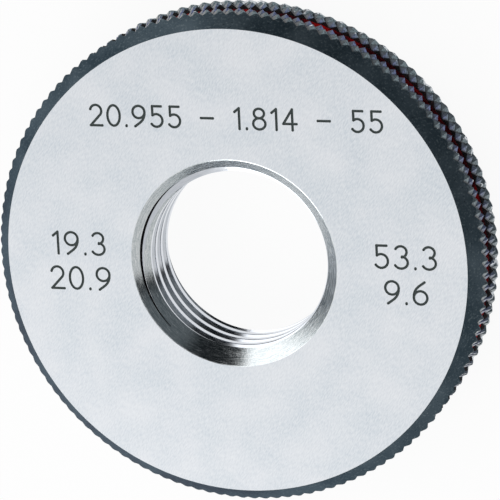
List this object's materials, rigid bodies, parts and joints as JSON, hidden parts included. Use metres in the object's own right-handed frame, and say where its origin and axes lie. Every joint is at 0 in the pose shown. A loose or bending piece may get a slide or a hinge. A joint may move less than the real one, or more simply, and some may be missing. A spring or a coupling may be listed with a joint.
{
  "type": "thread ring gauge",
  "caption": "Flat round ring gauge with a threaded bore, countersunk both sides, knurled rim and a red-filled rim groove.",
  "frame": {"origin": "centre of the back face, on the thread's axis", "axes": "+Z along the thread's axis, out of the marked face; +X along the marks' reading direction"},
  "size_m": [0.0534, 0.0534, 0.0096],
  "materials": {
    "steel": "hardened gauge steel: faces and bore ground bright, bevels and knurl blackened, rim groove painted red"
  },
  "bodies": {
    "root": {"ring_gauge": "steel"}
  },
  "joints": []
}
